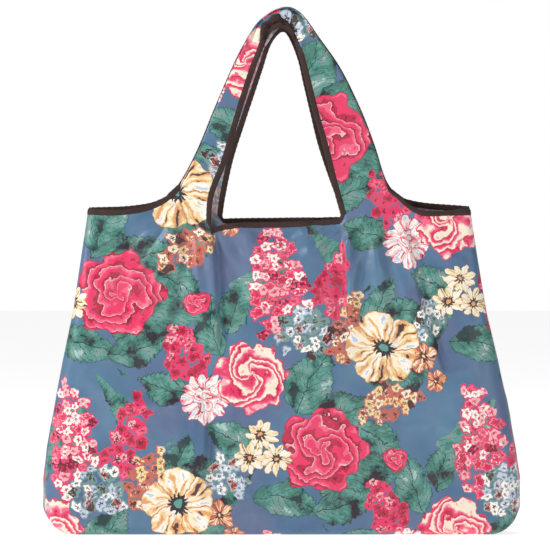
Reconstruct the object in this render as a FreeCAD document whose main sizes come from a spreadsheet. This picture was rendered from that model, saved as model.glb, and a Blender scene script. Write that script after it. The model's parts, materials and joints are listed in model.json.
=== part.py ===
import FreeCAD, Part
import math
import os
import re
import Sketcher

# Foldable shopping tote of thin polyester cloth, standing open with its handles up.
# Frame: origin at the centre of the base on the floor, +Z up, -Y front, +X to the
# right seen from the front. Millimetres. The cloth is drawn one millimetre thick, and
# every cut edge carries a folded binding tape. Front and rear share their outlines
# and differ only in the way they lean.

DIMENSIONS = {
    # body of the bag
    "cloth": 1.0,
    "gap": 0.4,
    "base_half_length": 256.0,
    "base_half_depth": 43.3,
    "corner_half_width": 306.0,
    "corner_radius": 37.0,
    "shoulder_half_width": 247.0,
    "bend_inset": 1.16,
    "panel_foot": 2.0,
    "panel_top": 396.0,
    "panel_foot_y": 44.5,
    "panel_lean": 3.0,
    "mouth_drop": 9.0,
    # handles, heights counted along the cloth from the fold line
    "fold_height": 400.0,
    "fold_y": 23.6,
    "strap_lean": 4.0,
    "root_height": 2.0,
    "root_outer": 150.0,
    "root_inner": 72.0,
    "bend_height": 40.0,
    "bend_outer": 134.0,
    "bend_inner": 64.0,
    "middle_height": 134.0,
    "middle_outer": 98.0,
    "middle_inner": 37.0,
    "upper_height": 223.0,
    "upper_outer": 47.0,
    "upper_inner": 12.0,
    "crown_outer": 14.0,
    "crown_shoulder_height": 263.0,
    "crown_height": 267.5,
    "crown_inner_height": 232.0,
    # binding tape
    "tape": 8.0,
    "tape_slant": 8.8,
    "tape_thickness": 1.8,
    # stow pouch, hung inside the rear panel
    "pouch_y": 20.3,
    "pouch_pivot_height": 388.0,
    "pouch_half_width": 65.0,
    "pouch_cloth": 0.6,
    "pouch_back_drop": 2.0,
    "pouch_foot_drop": 162.0,
    "pouch_mouth_drop": 28.0,
    "pouch_front_y": 18.9,
    "pouch_edge": 5.0,
    "pouch_edge_y": 19.6,
    "pouch_edge_thickness": 3.0,
    "pouch_tape": 6.0,
    "pouch_tape_thickness": 1.2,
    "hanging_tape_y": 21.2,
    "hanging_tape_thickness": 2.4,
    "hanging_tape_low": 390.0,
    "hanging_tape_high": 397.0,
    # snap tab of the pouch
    "tab_y": 15.8,
    "tab_pivot_height": 371.0,
    "tab_half_width": 12.0,
    "tab_start": 2.0,
    "tab_end": 33.0,
    "tab_round": 10.0,
    "tab_cloth": 0.8,
    "tab_base_y": 17.6,
    "tab_base_thickness": 4.0,
    "tab_base_height": 11.0,
    "snap_drop": 22.0,
    "snap_hole": 2.5,
    "snap_boss": 1.8,
    "snap_flange": 5.0,
    "snap_flange_thickness": 0.5,
    "snap_plate_thickness": 0.7,
    "snap_boss_length": 0.8,
    "snap_socket_radius": 5.5,
    "snap_socket_thickness": 0.6,
    "snap_cap_radius": 7.0,
    "snap_cap_thickness": 1.2,
    "snap_cap_rim": 0.5,
}

doc = FreeCAD.newDocument("FoldableTote")
sheet = doc.addObject("Spreadsheet::Sheet", "Dims")
for row, (alias, value) in enumerate(DIMENSIONS.items(), start=1):
    sheet.set("A%d" % row, alias)
    sheet.set("B%d" % row, str(value))
    sheet.setAlias("B%d" % row, alias)
doc.recompute()

pieces = []
NEAR = 0.01  # two places closer than this are the same place


def dims(text):
    """An expression with every alias of the sheet named in full."""
    return re.sub(r"[a-z_]+", lambda word: full_name(word.group()), text)


def full_name(word):
    return "Dims." + word if word in DIMENSIONS else word


def value_of(text):
    return float(sheet.evalExpression(dims(text)))


def new_body(label):
    body = doc.addObject("PartDesign::Body", label)
    body.Label = label
    pieces.append(body)
    return body


def place(thing, y="0", z="0", lean="0"):
    """Stand a piece on its line (y, z) and turn it about X; every value is an expression."""
    thing.Placement = FreeCAD.Placement(
        FreeCAD.Vector(0, value_of(y), value_of(z)),
        FreeCAD.Rotation(FreeCAD.Vector(1, 0, 0), 1.0),
    )
    thing.setExpression(".Placement.Base.y", dims(y))
    thing.setExpression(".Placement.Base.z", dims(z))
    thing.setExpression(".Placement.Rotation.Angle", dims(lean))


def bind_point(sketch, geometry, vertex, name, corner):
    """Pin a sketch point at two expressions, measured from the sketch's origin."""
    for kind, letter, text in (("DistanceX", "x", corner[0]), ("DistanceY", "y", corner[1])):
        index = sketch.addConstraint(
            Sketcher.Constraint(kind, -1, 1, geometry, vertex, value_of(text))
        )
        label = "%s_%s" % (name, letter)
        sketch.renameConstraint(index, label)
        sketch.setExpression("Constraints." + label, dims(text))


def round_corner(sketch, before, after, start, end, corner_point, name, corner):
    """Arc between two lines, tangent to both; the sharp corner stays as a bound point."""
    toward = ((start + end) * 0.5 - corner_point).normalize()
    radius = value_of(corner[2])
    half = (start - corner_point).getAngle(toward)
    middle = corner_point + toward * (radius / math.sin(half) - radius)
    arc = sketch.addGeometry(Part.Arc(start, middle, end))
    circle = sketch.Geometry[arc]
    first, last = (1, 2) if circle.StartPoint.distanceToPoint(start) < NEAR else (2, 1)
    sketch.addConstraint(Sketcher.Constraint("Tangent", arc, first, before, 2))
    sketch.addConstraint(Sketcher.Constraint("Tangent", arc, last, after, 1))
    index = sketch.addConstraint(Sketcher.Constraint("Radius", arc, radius))
    sketch.renameConstraint(index, name + "_radius")
    sketch.setExpression("Constraints.%s_radius" % name, dims(corner[2]))
    sharp = sketch.addGeometry(Part.Point(corner_point), True)
    sketch.addConstraint(Sketcher.Constraint("PointOnObject", sharp, 1, before))
    sketch.addConstraint(Sketcher.Constraint("PointOnObject", sharp, 1, after))
    bind_point(sketch, sharp, 1, name, corner)


def add_outline(sketch, corners, name="corner"):
    """Closed outline through corners (x, y) or (x, y, radius), all of them expressions."""
    points = [FreeCAD.Vector(value_of(c[0]), value_of(c[1]), 0) for c in corners]
    count = len(points)
    starts, ends = [], []
    for i, corner in enumerate(corners):
        before = (points[i - 1] - points[i]).normalize()
        after = (points[(i + 1) % count] - points[i]).normalize()
        reach = 0.0
        if len(corner) == 3:
            reach = value_of(corner[2]) / math.tan(before.getAngle(after) / 2.0)
        starts.append(points[i] + before * reach)
        ends.append(points[i] + after * reach)
    lines = []
    for i in range(count):
        lines.append(sketch.addGeometry(Part.LineSegment(ends[i], starts[(i + 1) % count])))
    for i, corner in enumerate(corners):
        before, after, label = lines[i - 1], lines[i], "%s%d" % (name, i)
        if len(corner) == 3:
            round_corner(sketch, before, after, starts[i], ends[i], points[i], label, corner)
        else:
            sketch.addConstraint(Sketcher.Constraint("Coincident", before, 2, after, 1))
            bind_point(sketch, after, 1, label, corner)


def new_sketch(body, name, plane="XZ_Plane"):
    sketch = body.newObject("Sketcher::SketchObject", body.Label + "_" + name)
    for feature in body.Origin.OriginFeatures:
        if feature.Role == plane:
            sketch.AttachmentSupport = [(feature, "")]
    sketch.MapMode = "FlatFace"
    return sketch


def pad(body, sketch, thickness):
    """Thickness is shared equally by both sides of the sketch's plane."""
    feature = body.newObject("PartDesign::Pad", sketch.Name + "_pad")
    feature.Profile = sketch
    feature.Midplane = True
    feature.setExpression("Length", dims(thickness))
    return feature


def pocket(body, sketch, depth):
    feature = body.newObject("PartDesign::Pocket", sketch.Name + "_pocket")
    feature.Profile = sketch
    feature.Midplane = True
    feature.setExpression("Length", dims(depth))
    return feature


def flat_piece(label, corners, thickness):
    """A piece cut from flat cloth or tape: one outline with one thickness."""
    body = new_body(label)
    sketch = new_sketch(body, "outline")
    add_outline(sketch, corners)
    pad(body, sketch, thickness)
    return body


def round_bend(body, corner, radius):
    """Round the edge of a bend that runs along Y through the outline's corner (x, z)."""
    doc.recompute()
    x, z = value_of(corner[0]), value_of(corner[1])
    base = body.Tip
    for number, edge in enumerate(base.Shape.Edges, start=1):
        box = edge.BoundBox
        here = abs(box.Center.x - x) < NEAR and abs(box.Center.z - z) < NEAR
        if here and box.YLength > value_of("cloth"):
            feature = body.newObject("PartDesign::Fillet", "%s_bend%d" % (body.Label, number))
            feature.Base = (base, ["Edge%d" % number])
            feature.setExpression("Radius", dims(radius))
            return
    raise RuntimeError("no edge at the bend of " + body.Label)


def hole(body, height, radius, depth):
    sketch = new_sketch(body, "hole")
    centre = FreeCAD.Vector(0, value_of(height), 0)
    circle = sketch.addGeometry(Part.Circle(centre, FreeCAD.Vector(0, 0, 1), value_of(radius)))
    sketch.addConstraint(Sketcher.Constraint("PointOnObject", circle, 3, -2))
    for kind, name, text in (("DistanceY", "height", height), ("Radius", "radius", radius)):
        if kind == "Radius":
            constraint = Sketcher.Constraint(kind, circle, value_of(text))
        else:
            constraint = Sketcher.Constraint(kind, -1, 1, circle, 3, value_of(text))
        sketch.renameConstraint(sketch.addConstraint(constraint), name)
        sketch.setExpression("Constraints." + name, dims(text))
    pocket(body, sketch, depth)


def mirrored(corners):
    """The same outline on the -X side."""
    return [("-1 * (%s)" % c[0],) + tuple(c[1:]) for c in corners]


# Each face of the bag leans towards the other one. side is -1 at the front, +1 at the rear.
FACES = {"front": -1, "rear": 1}
SIDES = {"right": 1, "left": -1}
PANEL_SLOPE = "tan(panel_lean)"


def place_on_panel(thing, side):
    place(thing, "%d * panel_foot_y" % side, "panel_foot", "%d * panel_lean" % side)


def place_on_handle(thing, side):
    place(thing, "%d * fold_y" % side, "fold_height", "%d * strap_lean" % side)


def body_panel(face, side):
    """Panel with rounded lower corners; its top edge dips between the two straps."""
    right_half = [
        ("corner_half_width", "0", "corner_radius"),
        ("shoulder_half_width", "panel_top"),
        ("root_inner", "panel_top"),
        ("root_inner", "panel_top - mouth_drop"),
    ]
    left_half = list(reversed(mirrored(right_half)))
    body = flat_piece(face + "_panel", right_half + left_half, "cloth")
    place_on_panel(body, side)


def mouth_binding(face, side):
    corners = [
        ("gap - root_inner", "panel_top - mouth_drop + gap"),
        ("root_inner - gap", "panel_top - mouth_drop + gap"),
        ("root_inner - gap", "panel_top - mouth_drop + tape"),
        ("gap - root_inner", "panel_top - mouth_drop + tape"),
    ]
    place_on_panel(flat_piece(face + "_mouth_binding", corners, "tape_thickness"), side)


def shoulder_binding(face, side, hand, direction):
    corners = [
        ("root_outer + gap", "panel_top + gap"),
        ("shoulder_half_width", "panel_top + gap"),
        ("shoulder_half_width", "panel_top + tape"),
        ("root_outer + gap", "panel_top + tape"),
    ]
    corners = corners if direction > 0 else mirrored(corners)
    label = "%s_%s_shoulder_binding" % (face, hand)
    place_on_panel(flat_piece(label, corners, "tape_thickness"), side)


# A handle is two straps that rise from the shoulders and meet in a seam at the crown.
# Both edges of a strap are curves through these stations, from the fold line upwards.
STRAP_STATIONS = ("root", "bend", "middle", "upper")


def edge_path(edge, inset):
    """One edge of a strap, moved sideways into the strap by inset."""
    path = []
    for station in STRAP_STATIONS:
        path.append(("%s_%s %s" % (station, edge, inset), station + "_height"))
    return path


def crown_outer_path(inset):
    return [
        ("crown_outer - %s / 2" % inset, "crown_shoulder_height - %s / 2" % inset),
        ("gap", "crown_height - %s" % inset),
    ]


def strap_pieces(face, side, hand, direction):
    """Strap cloth between its two binding tapes, for one limb of one handle."""
    seam_inner = ("gap", "crown_inner_height")
    tape_seam = ("gap", "crown_inner_height + tape")
    outer_edge = edge_path("outer", "") + crown_outer_path("0")
    outer_tape_edge = edge_path("outer", "- tape_slant") + crown_outer_path("tape")
    outer_cloth_edge = edge_path("outer", "- tape_slant - gap") + crown_outer_path("(tape + gap)")
    inner_edge = edge_path("inner", "") + [seam_inner]
    inner_tape_edge = edge_path("inner", "+ tape_slant") + [tape_seam]
    inner_cloth_edge = edge_path("inner", "+ tape_slant + gap")
    inner_cloth_edge.append(("gap", "crown_inner_height + tape + gap"))
    outlines = {
        "strap": (outer_cloth_edge, inner_cloth_edge, "cloth"),
        "strap_outer_binding": (outer_edge, outer_tape_edge, "tape_thickness"),
        "strap_inner_binding": (inner_tape_edge, inner_edge, "tape_thickness"),
    }
    for kind, (outside, inside, thickness) in outlines.items():
        corners = outside + list(reversed(inside))
        corners = corners if direction > 0 else mirrored(corners)
        label = "%s_%s_%s" % (face, hand, kind)
        place_on_handle(flat_piece(label, corners, thickness), side)


# The side of the bag: a gusset that turns in under the corner and meets the base.
def gusset(hand, direction):
    outer_bend = ("corner_half_width", "0")
    inner_bend = ("corner_half_width - bend_inset * cloth", "cloth")
    corners = [
        ("base_half_length + gap", "0"),
        outer_bend,
        ("shoulder_half_width", "panel_top + panel_foot"),
        ("shoulder_half_width - cloth", "panel_top + panel_foot"),
        inner_bend,
        ("base_half_length + gap", "cloth"),
    ]
    if direction < 0:
        corners = mirrored(corners)
        outer_bend, inner_bend = mirrored([outer_bend, inner_bend])
    body = flat_piece(hand + "_gusset", corners, "2 * base_half_depth + 2 * cloth")
    round_bend(body, outer_bend, "corner_radius")
    round_bend(body, inner_bend, "corner_radius - cloth")
    trim = new_sketch(body, "trim", "YZ_Plane")
    top = "panel_top + panel_foot + cloth"
    inner_foot = "base_half_depth"
    inner_top = "base_half_depth - (panel_top + panel_foot + cloth) * " + PANEL_SLOPE
    far = "base_half_depth + 4 * cloth"
    waste = [(inner_foot, "-1 * cloth"), (inner_foot, "0"), (inner_top, top), (far, top)]
    waste.append((far, "-1 * cloth"))
    add_outline(trim, waste, "rear")
    add_outline(trim, mirrored(waste), "front")
    pocket(body, trim, "4 * corner_half_width")
    place(body)


def gusset_binding(hand, direction):
    """Tape over the top edge of a gusset, between the two shoulders."""
    corners = [
        ("shoulder_half_width + (tape_thickness - cloth) / 2", "0"),
        ("shoulder_half_width + (tape_thickness - cloth) / 2", "tape - gap"),
        ("shoulder_half_width - (tape_thickness + cloth) / 2", "tape - gap"),
        ("shoulder_half_width - (tape_thickness + cloth) / 2", "0"),
    ]
    corners = corners if direction > 0 else mirrored(corners)
    depth = "2 * fold_y - 2 * tape_thickness"
    place(flat_piece(hand + "_gusset_binding", corners, depth), z="panel_top + panel_foot + gap")


def base_panel():
    body = new_body("base_panel")
    sketch = new_sketch(body, "outline", "XY_Plane")
    quarter = ("base_half_length", "base_half_depth")
    signs = ((1, 1), (-1, 1), (-1, -1), (1, -1))
    corners = [("%d * %s" % (a, quarter[0]), "%d * %s" % (b, quarter[1])) for a, b in signs]
    add_outline(sketch, corners)
    pad(body, sketch, "cloth")
    place(body, z="cloth / 2")


def pouch_cloth_piece(label, top_drop, y):
    corners = [
        ("pouch_half_width", "-1 * pouch_foot_drop"),
        ("pouch_half_width", "-1 * " + top_drop),
        ("-1 * pouch_half_width", "-1 * " + top_drop),
        ("-1 * pouch_half_width", "-1 * pouch_foot_drop"),
    ]
    body = flat_piece(label, corners, "pouch_cloth")
    place(body, y, "pouch_pivot_height")
    return body


def pouch_edge_binding():
    """U of tape that joins the two cloths of the pouch along its sides and foot."""
    inside, outside = "pouch_half_width + gap", "pouch_half_width + pouch_edge"
    foot_inside = "-1 * pouch_foot_drop - gap"
    foot_outside = "-1 * pouch_foot_drop - pouch_edge"
    top = "-1 * pouch_mouth_drop"
    right = [(outside, foot_outside), (outside, top), (inside, top), (inside, foot_inside)]
    corners = right + list(reversed(mirrored(right)))
    body = flat_piece("pouch_edge_binding", corners, "pouch_edge_thickness")
    place(body, "pouch_edge_y", "pouch_pivot_height")


def tape_bar(label, half_width, low, high, thickness, y, z):
    """A straight bar of folded tape, centred on X."""
    corners = [(half_width, low), (half_width, high)]
    corners = corners + list(reversed(mirrored(corners)))
    place(flat_piece(label, corners, thickness), y, z)


def stow_pouch():
    pouch_cloth_piece("pouch_back", "pouch_back_drop", "pouch_y")
    front = pouch_cloth_piece("pouch_front", "pouch_mouth_drop", "pouch_front_y")
    snap_height = "tab_pivot_height - pouch_pivot_height - snap_drop"
    hole(front, snap_height, "snap_hole", "3 * pouch_cloth")
    pouch_edge_binding()
    mouth_low, mouth_high = "gap - pouch_mouth_drop", "pouch_tape - pouch_mouth_drop"
    tape_bar("pouch_mouth_binding", "pouch_half_width", mouth_low, mouth_high,
             "pouch_tape_thickness", "pouch_front_y", "pouch_pivot_height")
    tape_bar("pouch_hanging_tape", "pouch_half_width", "hanging_tape_low", "hanging_tape_high",
             "hanging_tape_thickness", "hanging_tape_y", "0")
    tape_bar("snap_tab_base", "tab_half_width", "tab_start", "tab_start + tab_base_height",
             "tab_base_thickness", "tab_base_y", "tab_pivot_height")


def snap_tab():
    corners = [
        ("tab_half_width", "-1 * tab_start"),
        ("-1 * tab_half_width", "-1 * tab_start"),
        ("-1 * tab_half_width", "-1 * tab_end", "tab_round"),
        ("tab_half_width", "-1 * tab_end", "tab_round"),
    ]
    body = flat_piece("snap_tab", corners, "tab_cloth")
    hole(body, "-1 * snap_drop", "snap_hole", "3 * tab_cloth")
    place(body, "tab_y", "tab_pivot_height")


def turned(label, profile, y):
    """A piece turned about the snap's axis; profile is (distance along Y, radius)."""
    body = new_body(label)
    sketch = new_sketch(body, "profile", "XY_Plane")
    add_outline(sketch, [(radius, along) for along, radius in profile])
    feature = body.newObject("PartDesign::Revolution", label + "_turn")
    feature.Profile = sketch
    feature.ReferenceAxis = (sketch, ["V_Axis"])
    feature.Angle = 360.0
    place(body, y, "tab_pivot_height - snap_drop")


def snap_fastener():
    """Cap and socket clench the tab; post and stud clench the pouch's front cloth."""
    post_face = "pouch_front_y + pouch_cloth / 2 + gap / 4"
    turned("snap_post", [
        ("0", "0"), ("0", "snap_flange"), ("snap_flange_thickness", "snap_flange"),
        ("snap_flange_thickness", "0"),
    ], post_face)
    stud_foot = "-1 * snap_plate_thickness"
    turned("snap_stud", [
        ("0", "0"), ("0", "snap_flange"), (stud_foot, "snap_flange"), (stud_foot, "snap_boss"),
        (stud_foot + " - snap_boss_length", "snap_boss"), (stud_foot + " - snap_boss_length", "0"),
    ], "pouch_front_y - pouch_cloth / 2 - gap / 4")
    turned("snap_socket", [
        ("0", "snap_hole"), ("0", "snap_socket_radius"),
        ("snap_socket_thickness", "snap_socket_radius"), ("snap_socket_thickness", "snap_hole"),
    ], "tab_y + tab_cloth / 2 + gap / 4")
    cap_rim = "-1 * snap_cap_rim"
    turned("snap_cap", [
        ("0", "0"), ("0", "snap_cap_radius"), (cap_rim, "snap_cap_radius"),
        ("-1 * snap_cap_thickness", "snap_cap_radius / 2"), ("-1 * snap_cap_thickness", "0"),
    ], "tab_y - tab_cloth / 2 - gap / 4")


for face, side in FACES.items():
    body_panel(face, side)
    mouth_binding(face, side)
    for hand, direction in SIDES.items():
        shoulder_binding(face, side, hand, direction)
        strap_pieces(face, side, hand, direction)
for hand, direction in SIDES.items():
    gusset(hand, direction)
    gusset_binding(hand, direction)
base_panel()
stow_pouch()
snap_tab()
snap_fastener()
doc.recompute()

for thing in doc.Objects:
    if "Invalid" in thing.State or "Error" in thing.State:
        raise RuntimeError("%s failed: %s" % (thing.Label, thing.State))
for piece in pieces:
    if piece.Shape.isNull() or not piece.Shape.isValid() or not piece.Shape.Solids:
        raise RuntimeError(piece.Label + " is not a valid solid")

os.makedirs("parts", exist_ok=True)
for piece in pieces:
    piece.Shape.exportStep("parts/%s.step" % piece.Label)
    box = piece.Shape.BoundBox
    size = (box.XMin, box.XMax, box.YMin, box.YMax, box.ZMin, box.ZMax, piece.Shape.Volume)
    print(piece.Label, " ".join("%.1f" % number for number in size))
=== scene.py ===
import math
import json

import bpy
import numpy as np
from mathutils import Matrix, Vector, noise


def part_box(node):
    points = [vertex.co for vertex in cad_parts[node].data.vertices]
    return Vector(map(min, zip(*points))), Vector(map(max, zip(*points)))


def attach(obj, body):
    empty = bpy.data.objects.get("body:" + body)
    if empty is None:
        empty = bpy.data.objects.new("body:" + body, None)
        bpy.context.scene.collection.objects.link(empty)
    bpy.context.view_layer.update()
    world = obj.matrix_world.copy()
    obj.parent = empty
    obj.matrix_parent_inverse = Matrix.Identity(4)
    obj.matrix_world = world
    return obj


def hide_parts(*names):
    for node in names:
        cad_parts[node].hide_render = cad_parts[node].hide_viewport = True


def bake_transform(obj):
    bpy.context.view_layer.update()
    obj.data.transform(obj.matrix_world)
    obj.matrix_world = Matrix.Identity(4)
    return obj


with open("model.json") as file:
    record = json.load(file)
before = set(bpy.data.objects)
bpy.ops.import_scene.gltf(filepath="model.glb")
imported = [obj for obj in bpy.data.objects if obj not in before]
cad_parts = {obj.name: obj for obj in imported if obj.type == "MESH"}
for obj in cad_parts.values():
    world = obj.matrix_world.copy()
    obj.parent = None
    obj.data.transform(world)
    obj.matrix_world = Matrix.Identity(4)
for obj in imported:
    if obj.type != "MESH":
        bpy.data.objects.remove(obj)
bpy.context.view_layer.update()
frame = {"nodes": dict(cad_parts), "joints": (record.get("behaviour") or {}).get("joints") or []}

# Lengths in this script are millimetres; a mesh is scaled to metres when it is made.
# Front cloth and rear cloth share one description: `out` is the distance outwards from
# the middle plane of the bag, which is -Y at the front and +Y at the rear.
MM = 0.001
FRONT, REAR = -1, 1


def cad_box(node):
    low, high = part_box(node)
    return [v / MM for v in low], [v / MM for v in high]


PANEL_LOW, PANEL_HIGH = cad_box("front_panel")
CROWN_Z = cad_box("front_right_strap_outer_binding")[1][2]
BASE_HALF = PANEL_HIGH[0]                 # half width at the foot, where the bag is widest
FOOT_DEPTH = -PANEL_LOW[1]                # half depth at the foot
MOUTH_DEPTH = -PANEL_HIGH[1]              # half depth at the mouth
FOLD_Z = next(j["pos_m"][2] for j in frame["joints"] if j["name"] == "front_handle_fold") / MM
SHOULDER_HALF = cad_box("front_right_shoulder_binding")[1][0]
CROWN_OUT = 9.0                           # how far the crown stays from the middle plane
CORNER_RADIUS = 37.0                      # rounding of the lower corners, seen from the front
CORNER_X = BASE_HALF - CORNER_RADIUS
CLOTH = 0.4                               # thickness of the cloth in the mesh
STEP = 3.0                                # spacing of the cloth mesh

# ---- small maths


def smooth(value, low, high):
    """Zero below low, one above high, with a smooth rise between."""
    f = np.clip((np.asarray(value, float) - low) / (high - low), 0.0, 1.0)
    return f * f * (3.0 - 2.0 * f)


def bump(value, centre, width):
    return np.exp(-((np.asarray(value, float) - centre) / width) ** 2)


def through(stations, count):
    """A Catmull-Rom curve through the stations, as count points spaced evenly by station."""
    p = np.array(stations, float)
    p = np.vstack([2 * p[0] - p[1], p, 2 * p[-1] - p[-2]])
    at = np.linspace(0.0, len(p) - 3.0, count)
    k = np.minimum(at.astype(int), len(p) - 4)
    f = (at - k)[:, None]
    a, b, c, d = p[k], p[k + 1], p[k + 2], p[k + 3]
    return 0.5 * (2 * b + (c - a) * f + (2 * a - 5 * b + 4 * c - d) * f ** 2
                  + (3 * b - a - 3 * c + d) * f ** 3)


def pack(*parts):
    """Points from arrays of coordinates, spread over one shape."""
    return np.stack(np.broadcast_arrays(*parts), axis=-1)


def wrinkle(points, size, seed):
    """Smooth noise from -1 to 1 at each point of an array (..., 2)."""
    flat = points.reshape(-1, 2)
    values = [noise.noise(Vector((x / size, y / size, seed))) for x, y in flat]
    return np.array(values).reshape(points.shape[:-1])


def unit(vectors):
    length = np.linalg.norm(vectors, axis=-1, keepdims=True)
    return vectors / np.maximum(length, 1e-9)


def grid_normals(grid):
    """Outward normals of a grid whose rows go up and columns go to its right."""
    return unit(np.cross(np.gradient(grid, axis=1), np.gradient(grid, axis=0)))


# ---- the shape of the body

# Heights of the top edge, as (x, z) from the left side seam to the right one. A strap
# stands between the left and mouth parts, and another between the mouth and right parts.
TOPS = {
    FRONT: {
        "left": [(-256, 409.5), (-211, 408), (-187, 410), (-166, 415.5), (-147, 425)],
        "mouth": [(-92, 384), (-63, 391.5), (0, 393), (74, 397)],
        "right": [(154, 421), (172, 410.5), (192, 407), (256, 409)],
    },
    REAR: {
        "left": [(-256, 410), (-211, 411), (-187, 413), (-166, 417), (-147, 426)],
        "mouth": [(-78, 396), (-50, 396.5), (0, 397), (80, 398)],
        "right": [(150, 424), (168, 419), (192, 415.5), (228, 413), (256, 411)],
    },
}

# Edges of each handle seen from the front, as pairs (outer point, inner point) from
# the root of the left strap over the crown to the root of the right strap.
HANDLES = {
    FRONT: [
        ((-147, 425), (-92, 384)), ((-127, 447), (-88, 426)), ((-107, 485), (-72, 468)),
        ((-87, 534), (-56, 522)), ((-68, 578), (-41, 570)), ((-51, 613), (-29, 604)),
        ((-30, 646), (-17, 630)), ((-2, 663), (-2, 638)), ((21, 657), (11, 628)),
        ((47, 623), (20, 604)), ((73, 585), (28, 573)), ((98, 534), (38, 533)),
        ((115, 490), (50, 492)), ((131, 443), (63, 440)), ((154, 421), (75, 397)),
    ],
    REAR: [
        ((-147, 426), (-78, 396)), ((-122, 450), (-74, 424)), ((-102, 486), (-64, 471)),
        ((-79, 536), (-50, 515)), ((-58, 578), (-36, 557)), ((-42, 610), (-25, 590)),
        ((-22, 641), (-15, 619)), ((0, 657), (0, 634)), ((20, 648), (11, 620)),
        ((42, 617), (20, 596)), ((66, 580), (27, 566)), ((91, 531), (36, 528)),
        ((111, 487), (46, 488)), ((129, 440), (63, 438)), ((150, 424), (79, 398)),
    ],
}


def half_width(z):
    """Half width of the bag at height z, seen from the front."""
    z = np.asarray(z, float)
    lean = (SHOULDER_HALF - BASE_HALF - 6.0) / PANEL_HIGH[2]
    side = BASE_HALF + 6.0 + lean * z + 6.0 * np.sin(np.pi * np.clip(z / 280.0, 0.0, 1.0))
    drop = np.clip(CORNER_RADIUS - z, 0.0, CORNER_RADIUS)
    corner = CORNER_X + np.sqrt(CORNER_RADIUS ** 2 - drop ** 2)
    return np.where(z < CORNER_RADIUS, np.minimum(corner, side), np.minimum(side, BASE_HALF))


def drawn_in(x, z):
    """Sideways place of the cloth, with the right-hand side drawn in as it hangs."""
    pull = 3.0 + 6.5 * smooth(z, 20.0, FOLD_Z)
    return x - pull * smooth(x, 120.0, 240.0)


def rounding(z):
    """Radius with which a face turns into the side or the base."""
    return 17.0 - 8.0 * smooth(z, 150.0, FOLD_Z)


def half_depth(x, z):
    """Half depth of the soft body: leaning faces with a fuller middle."""
    lean = (MOUTH_DEPTH - FOOT_DEPTH) / PANEL_HIGH[2]
    full = np.sin(np.pi * np.clip(z / 390.0, 0.0, 1.0))
    across = np.cos(np.pi / 2.0 * np.clip(np.abs(x) / BASE_HALF, 0.0, 1.0))
    return FOOT_DEPTH + lean * z + full * (4.0 + 5.5 * across ** 0.7) - 1.0


def edge_distance(x, z):
    """Distance from the side and foot of the outline, seen from the front."""
    from_side = half_width(z) - np.abs(x)
    corner = CORNER_RADIUS - np.hypot(np.abs(x) - CORNER_X, CORNER_RADIUS - z)
    inside = np.minimum(from_side, z)
    in_corner = (np.abs(x) > CORNER_X) & (z < CORNER_RADIUS)
    return np.clip(np.where(in_corner, corner, inside), 0.0, None)


def soft_face(x, z):
    """How far out the face of the bag stands, without its folds."""
    radius = rounding(z)
    short = np.clip(radius - edge_distance(x, z), 0.0, radius)
    return half_depth(x, z) - radius + np.sqrt(np.maximum(radius ** 2 - short ** 2, 0.0))


# A fold runs through (x, z) points. A pleat is (side, depth, hidden, points): it steps down by
# depth towards one side (1 right, -1 left) and hides some cloth. A crease is (depth, width,
# points): a ridge, or a valley where depth is negative.
PLEATS = {
    FRONT: [
        (1, 9.0, 14.0, [(-92, 392), (-87, 372), (-83, 310), (-79, 226)]),
        (1, 6.4, 7.0, [(-95, 148), (-97, 92), (-99, 46)]),
        (-1, 7.0, 11.0, [(75, 398), (78, 350), (80, 300), (84, 236)]),
        (1, 5.6, 6.0, [(153, 404), (161, 370), (182, 284), (214, 186)]),
    ],
    REAR: [
        (-1, 5.0, 9.0, [(86, 384), (80, 300), (74, 228)]),
        (1, 4.6, 8.0, [(-84, 390), (-86, 320), (-92, 256)]),
        (-1, 3.4, 6.0, [(118, 150), (116, 100), (112, 52)]),
    ],
}
PLEAT_EDGE = 1.3      # softness of a pleat's edge
CREASES = {
    FRONT: [
        (-3.6, 7.0, [(94, 412), (96, 350), (100, 296), (108, 250)]),
        (4.4, 8.0, [(112, 414), (116, 350), (122, 290), (132, 232)]),
        (-3.4, 9.0, [(138, 412), (142, 350), (150, 290), (160, 232)]),
        (-3.0, 8.0, [(56, 392), (58, 350), (64, 310)]),
        (4.0, 6.0, [(-214, 168), (-150, 163), (-98, 166)]),
        (-3.4, 6.0, [(-200, 182), (-150, 178), (-98, 181)]),
        (3.8, 6.0, [(-112, 46), (-84, 38), (-52, 42), (-20, 56)]),
        (-3.0, 9.0, [(-66, 384), (-58, 340), (-52, 290), (-50, 240)]),
        (2.4, 8.0, [(-44, 380), (-40, 340), (-36, 300)]),
        (4.2, 9.0, [(-132, 412), (-150, 350), (-168, 290), (-196, 214)]),
        (-3.2, 8.0, [(-112, 400), (-122, 350), (-132, 300), (-140, 250)]),
        (-2.8, 9.0, [(-178, 404), (-200, 340), (-226, 270)]),
        (3.0, 10.0, [(196, 400), (222, 330), (246, 250)]),
        (-2.0, 9.0, [(-236, 392), (-232, 300), (-246, 200)]),
        (2.0, 9.0, [(228, 390), (238, 300), (250, 180)]),
        (-1.6, 8.0, [(160, 112), (214, 100), (262, 84)]),
        (1.8, 8.0, [(-262, 96), (-214, 120), (-170, 132)]),
        (-1.8, 12.0, [(10, 386), (6, 330), (-4, 280)]),
    ],
    REAR: [
        (3.2, 6.0, [(-86, 396), (-84, 330), (-80, 262)]),
        (2.8, 9.0, [(-138, 410), (-156, 340), (-176, 270), (-204, 196)]),
        (2.8, 9.0, [(136, 410), (150, 340), (172, 270), (206, 190)]),
        (-2.2, 8.0, [(112, 404), (118, 340), (124, 280)]),
        (1.5, 3.5, [(-60, 180), (10, 182), (90, 179)]),
        (1.5, 3.5, [(-150, 58), (-60, 54), (40, 56)]),
        (2.0, 9.0, [(-244, 380), (-248, 280), (-262, 170)]),
        (-2.0, 9.0, [(236, 388), (244, 290), (258, 190)]),
    ],
}


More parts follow.
